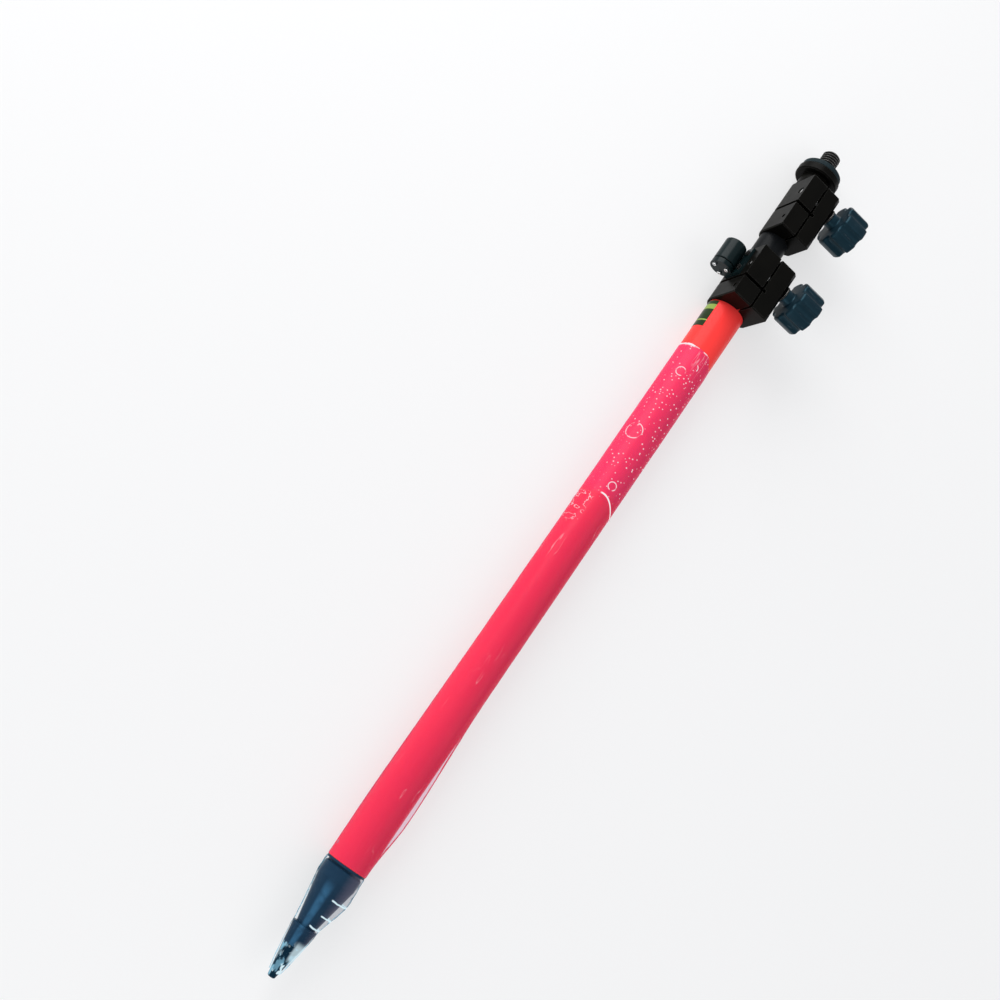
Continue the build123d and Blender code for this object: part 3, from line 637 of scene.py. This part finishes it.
def clear_film():
    """Clear wrapping film: a violet cast, a soft shine, and painted highlights: white marks that
    glow at each bubble, the creases, the fold and the cut edge.
    """
    look = Look("clear_film")
    z = look.axes()[2]
    # Painted highlights: small round white glints of air bubbles, between the fold and the top
    # edge.
    zone = look.spread(z, FILM_FOLD - 6 * MM, FILM_FOLD + 6 * MM)
    dots = look.node("TexVoronoi", {"feature": "F1"}, Vector=look.place, Scale=360.0)
    draw = look.node("SeparateColor", values=(dots.outputs["Color"],)).outputs[0]
    bright = look.math("GREATER_THAN", draw, 0.42)
    speck = look.math("MULTIPLY", look.spread(dots.outputs["Distance"], 0.15, 0.28, 1, 0), bright)
    painted_bubble_glints = look.math("MULTIPLY", speck, look.spread(look.noise(70, 2), 0.36, 0.50, 0.1, 0.9))
    # Larger painted highlight rings where the film has been pressed down round an air pocket.
    broken = look.spread(look.noise(170, 3), 0.40, 0.52)
    for height, degrees_round, radius in PAINTED_RING_GLINTS:
        away = look.node("VectorMath", {"operation": "DISTANCE"},
                         (look.place, on_film(height, degrees_round)))
        ring = look.near(away.outputs["Value"], radius, 0.15 * MM, 0.6 * MM)
        ring = look.math("MULTIPLY", ring, broken)
        painted_bubble_glints = look.math("MAXIMUM", painted_bubble_glints, ring)
    painted_bubble_glints = look.math("MULTIPLY", painted_bubble_glints, zone)
    # Painted highlight on the fold on the right of the seen side; on the left it is broken up into
    # painted white strokes.
    right = look.towards(SLACK_SIDE)
    ratio = look.math("DIVIDE", right, tube_high.x)
    drop = look.math("MULTIPLY", look.math("MULTIPLY", ratio, ratio), FOLD_DROP)
    fold = look.near(z, look.math("SUBTRACT", FILM_FOLD, drop), 0.4 * MM, 0.9 * MM)
    fold = look.math("MULTIPLY", fold, look.spread(right, -3 * MM, -1 * MM))
    below = look.math("MULTIPLY", look.spread(z, FILM_FOLD - 36 * MM, FILM_FOLD - 20 * MM),
                      look.spread(z, FILM_FOLD - 6 * MM, FILM_FOLD - 3 * MM, 1, 0))
    strokes = look.noise(110, 3, (1, 1, 1.6), 0.5)
    painted_stroke_glint = look.near(strokes, 0.5, 0, 0.02)
    painted_stroke_glint = look.math("MULTIPLY", painted_stroke_glint, look.spread(right, -4 * MM, -7 * MM, 0, 1))
    fold = look.math("MAXIMUM", fold, look.math("MULTIPLY", painted_stroke_glint, below))
    # A few long creases along the tube, painted white as highlights.
    ridge = look.noise(42, 4, (1, 1, 0.16), 0.55)
    line = look.near(ridge, 0.5, 0, 0.006)
    painted_crease_glint = look.math("MULTIPLY", line, look.spread(look.noise(22, 2), 0.56, 0.68))
    # Painted highlight: the cut edge is painted white where it is highest.
    painted_edge_glint = look.spread(z, FILM_TOP - 2.0 * MM, FILM_TOP - 0.8 * MM)
    painted_edge_glint = look.math("MULTIPLY", painted_edge_glint, look.spread(look.noise(120, 3), 0.40, 0.50))
    white = look.math("MULTIPLY", painted_bubble_glints, 0.75)
    white = look.math("MAXIMUM", white, look.math("MULTIPLY", painted_crease_glint, 0.3))
    white = look.math("MAXIMUM", white, fold)
    white = look.math("MAXIMUM", white, painted_edge_glint)
    wrinkle = look.noise(150, 4, (1, 1, 0.35))
    normal = look.bump(wrinkle, 0.35 * MM, 0.7)
    clear = look.node("BsdfTransparent", Color=(0.97, 0.93, 0.97, 1))
    haze = look.node("BsdfDiffuse", Color=(0.80, 0.08, 0.55, 1), Normal=normal)
    # Painted highlights: the white marks glow through this emission, though the film is no lamp.
    pale = look.node("Emission", Color=(1.0, 0.93, 0.97, 1), Strength=0.95)
    shine = look.node("BsdfGlossy", Color=(1, 0.8, 0.9, 1), Roughness=0.25, Normal=normal)
    fresnel = look.node("Fresnel", IOR=1.10, Normal=normal)
    misty = look.math("ADD", look.math("MULTIPLY", zone, 0.05), 0.10)
    body = look.node("MixShader", values=(misty, clear.outputs[0], haze.outputs[0]))
    glossed = look.node("MixShader",
                        values=(fresnel.outputs[0], body.outputs[0], shine.outputs[0]))
    marked = look.node("MixShader", values=(white, glossed.outputs[0], pale.outputs[0]))
    return look.close(marked.outputs[0])


def bell(z, low, peak, high):
    """Rises from none at low to one at peak, and falls to none at high."""
    if z <= low or z >= high:
        return 0.0
    share = (z - low) / (peak - low) if z < peak else (high - z) / (high - peak)
    return share * share * (3 - 2 * share)


def from_slack(angle):
    """An angle round the pole, measured from the slack side, between -pi and pi."""
    return (angle - SLACK_SIDE + pi) % (2 * pi) - pi


def film_radius(z, angle):
    """Distance of the film from the pole's axis: close on the tube, loose at its lower end."""
    here = Vector((cos(angle) * 1.6, sin(angle) * 1.6, z / (22 * MM)))
    fine = Vector((cos(angle) * 5, sin(angle) * 5, z / (7 * MM)))
    ripple = 0.20 * MM * noise.noise(here) + 0.08 * MM * noise.noise(fine)
    off = from_slack(angle)
    slack = 3.2 * MM * exp(-(off / 0.45) ** 2) * bell(z, 92 * MM, 138 * MM, 240 * MM)
    slack += 0.7 * MM * exp(-((abs(off) - pi) / 0.8) ** 2) * bell(z, 90 * MM, 140 * MM, 300 * MM)
    fold = FILM_FOLD - FOLD_DROP * cos(off) ** 2
    slack += 0.9 * MM * exp(-((z - fold) / (1.3 * MM)) ** 2) * (0.6 + 0.4 * cos(angle * 3))
    return tube_high.x + FILM_GAP + abs(ripple) + max(0.0, slack)


def make_film_sleeve():
    """Film round the tube, with a slanted and slightly wavy top edge."""
    bottom = tube_low.z + 0.3 * MM
    rows = int((FILM_TOP - bottom) / FILM_ROW)
    points = []
    for row in range(rows + 1):
        for k in range(FILM_SEGMENTS):
            angle = 2 * pi * k / FILM_SEGMENTS
            slant = 9 * MM * max(0.0, cos(from_slack(angle))) ** 2
            edge = 1.5 * MM * noise.noise(Vector((cos(angle) * 2, sin(angle) * 2, 7.0))) - slant
            z = bottom + (FILM_TOP + edge - bottom) * row / rows
            r = film_radius(z, angle)
            points.append(Vector((r * cos(angle), r * sin(angle), z)))
    faces = around(rows + 1, FILM_SEGMENTS, closed_ends=False)
    add_piece("film_sleeve", points, faces, "root", "level_glass", clear_film())


def clear_tape():
    """Glossy clear film on the dark foot: white folds on the right, painted as glowing highlights,
    and a light, cold shine.
    """
    look = Look("clear_tape")
    z = look.axes()[2]
    right = look.towards(SLACK_SIDE)
    wave = look.math("MULTIPLY", look.math("SUBTRACT", look.noise(120, 2), 0.5), 2.5 * MM)
    # Painted highlights: white folds, crumples near the point and a glare on the right, which glow
    # through an emission.
    white = 0.0
    for height, start in PAINTED_FOLD_GLINTS:
        fold = look.near(look.math("ADD", z, wave), height, 0.35 * MM, 0.75 * MM)
        fold = look.math("MULTIPLY", fold, look.spread(right, start, start + 1 * MM))
        white = look.math("MAXIMUM", white, fold)
    low_end = look.spread(z, 12 * MM, 32 * MM, 1.0, 0.0)
    painted_crumple_glint = look.spread(look.noise(260, 3, (1, 1, 0.6)), 0.54, 0.60)
    painted_crumple_glint = look.math("MULTIPLY", painted_crumple_glint, look.spread(right, -5 * MM, 1 * MM, 0.25, 1.0))
    white = look.math("MAXIMUM", white, look.math("MULTIPLY", painted_crumple_glint, low_end))
    # Painted glare on the right side of the foot.
    glare = look.near(z, GLARE_HEIGHT, 4 * MM, 9 * MM)
    glare = look.math("MULTIPLY", glare, look.spread(right, 1 * MM, 3 * MM))
    white = look.math("MAXIMUM", white, look.math("MULTIPLY", glare, 0.6))
    normal = look.bump(look.noise(190, 4), 0.5 * MM, 0.9)
    side = look.spread(right, 3 * MM, 12 * MM)
    clear = look.node("BsdfTransparent", Color=(0.97, 0.99, 1.0, 1))
    haze = look.node("BsdfDiffuse", Color=(0.30, 0.26, 0.36, 1), Normal=normal)
    shine = look.node("BsdfGlossy", Color=(0.70, 0.92, 1.0, 1), Roughness=0.2, Normal=normal)
    pale = look.node("Emission", Color=(0.72, 0.92, 1.0, 1), Strength=0.92)
    fresnel = look.node("Fresnel", IOR=1.06, Normal=normal)
    misty = look.math("MULTIPLY", side, 0.22)
    body = look.node("MixShader", values=(misty, clear.outputs[0], haze.outputs[0]))
    body = look.node("MixShader", values=(fresnel.outputs[0], body.outputs[0], shine.outputs[0]))
    marked = look.node("MixShader", values=(white, body.outputs[0], pale.outputs[0]))
    return look.close(marked.outputs[0])


def make_foot_film():
    """Film drawn in over the foot: it bridges the steps and is gathered on the point."""
    outline = [
        (point_low.z + 4 * MM, 4.3 * MM), (point_low.z + 12 * MM, 6.2 * MM),
        (collar_low.z, 8.2 * MM), (collar_high.z - 3 * MM, collar_high.x + 0.3 * MM),
        (collar_high.z, collar_high.x + 0.35 * MM), (collar_high.z + 3 * MM, 10.2 * MM),
        (70 * MM, 14.6 * MM), (78 * MM, cone_high.x + 0.2 * MM),
        (tube_low.z - 0.4 * MM, cone_high.x + 0.35 * MM),
    ]
    rows = []
    for (z0, r0), (z1, r1) in zip(outline, outline[1:]):
        for k in range(FOOT_FILM_STEPS):
            share = k / FOOT_FILM_STEPS
            rows.append((z0 + (z1 - z0) * share, r0 + (r1 - r0) * share))
    points = []
    for z, r in rows:
        for i in range(FOOT_FILM_SEGMENTS):
            angle = 2 * pi * i / FOOT_FILM_SEGMENTS
            where = Vector((cos(angle) * 3, sin(angle) * 3, z / (6 * MM)))
            off = from_slack(angle)
            flap = 2.9 * MM * exp(-(off / 0.9) ** 2) * bell(z, 38 * MM, 65 * MM, 84 * MM)
            skin = r + abs(0.5 * MM * noise.noise(where)) + flap
            points.append(Vector((skin * cos(angle), skin * sin(angle), z)))
    faces = around(len(rows), FOOT_FILM_SEGMENTS, closed_ends=False)
    add_piece("foot_film", points, faces, "root", "level_glass", clear_tape())


make_film_sleeve()
make_foot_film()


# ---- Floor, light and camera -------------------------------------------------------------------
FLOOR_REACH = 4.0
FLOOR_GAP = 0.3 * MM
SENSOR_WIDTH = 36.0    # mm


def make_floor():
    """Pale floor behind the pole (+Y), seen only from the pole's side."""
    level = cad_box[1].y + FLOOR_GAP
    centre = (cad_box[0] + cad_box[1]) / 2
    corners = [(centre.x + sx * FLOOR_REACH, level, centre.z + sz * FLOOR_REACH)
               for sx, sz in ((-1, -1), (1, -1), (1, 1), (-1, 1))]
    mesh = bpy.data.meshes.new("floor")
    mesh.from_pydata(corners, [], [(0, 1, 2, 3)])
    floor = bpy.data.objects.new("floor", mesh)
    bpy.context.scene.collection.objects.link(floor)
    look = Look("pale_floor")
    glow = look.node("Emission", Color=(0.94, 0.94, 0.94, 1), Strength=0.62)
    matte = look.node("BsdfDiffuse", Color=(0.34, 0.34, 0.34, 1))
    front = look.node("AddShader", values=(glow.outputs[0], matte.outputs[0]))
    back = look.node("BsdfTransparent")
    facing = look.node("NewGeometry").outputs["Backfacing"]
    both = look.node("MixShader", values=(facing, front.outputs[0], back.outputs[0]))
    mesh.materials.append(look.close(both.outputs[0]))


def make_softbox(name, azimuth, elevation, distance, size, power):
    """Round area light that shines at the pole's middle."""
    light = bpy.data.lights.new(name, "AREA")
    light.shape = "DISK"
    light.size = size
    light.energy = power
    lamp = bpy.data.objects.new(name, light)
    centre = (cad_box[0] + cad_box[1]) / 2
    way = direction(azimuth, elevation)
    lamp.location = centre + way * distance
    lamp.rotation_mode = "QUATERNION"
    lamp.rotation_quaternion = way.to_track_quat("Z", "Y")
    bpy.context.scene.collection.objects.link(lamp)


def make_camera():
    """The pole leans right, seen from below its level side and a little to the left."""
    turn = radians(CAMERA_AZIMUTH)
    aim = Vector((AIM_ASIDE * cos(turn), AIM_ASIDE * sin(turn), AIM_HEIGHT))
    way = direction(CAMERA_AZIMUTH, CAMERA_ELEVATION)
    data = bpy.data.cameras.new("camera")
    data.sensor_width = SENSOR_WIDTH
    data.angle = radians(VIEW_ANGLE)
    camera = bpy.data.objects.new("camera", data)
    camera.location = aim + way * CAMERA_DISTANCE
    camera.rotation_mode = "QUATERNION"
    level = way.to_track_quat("Z", "Y")
    camera.rotation_quaternion = level @ Quaternion((0, 0, 1), radians(CAMERA_ROLL))
    bpy.context.scene.collection.objects.link(camera)
    bpy.context.scene.camera = camera


make_floor()
make_softbox("key_light", -60, 35, 1.6, 1.5, 24)
make_softbox("fill_light", 40, 5, 1.8, 1.6, 5)
make_softbox("end_light", -20, -70, 1.6, 1.0, 6)
make_camera()

world = bpy.data.worlds.new("world")
world.use_nodes = True
world.node_tree.nodes["Background"].inputs["Color"].default_value = (0.93, 0.95, 1.0, 1)
world.node_tree.nodes["Background"].inputs["Strength"].default_value = 0.55
bpy.context.scene.world = world
bpy.context.scene.view_settings.view_transform = "Standard"
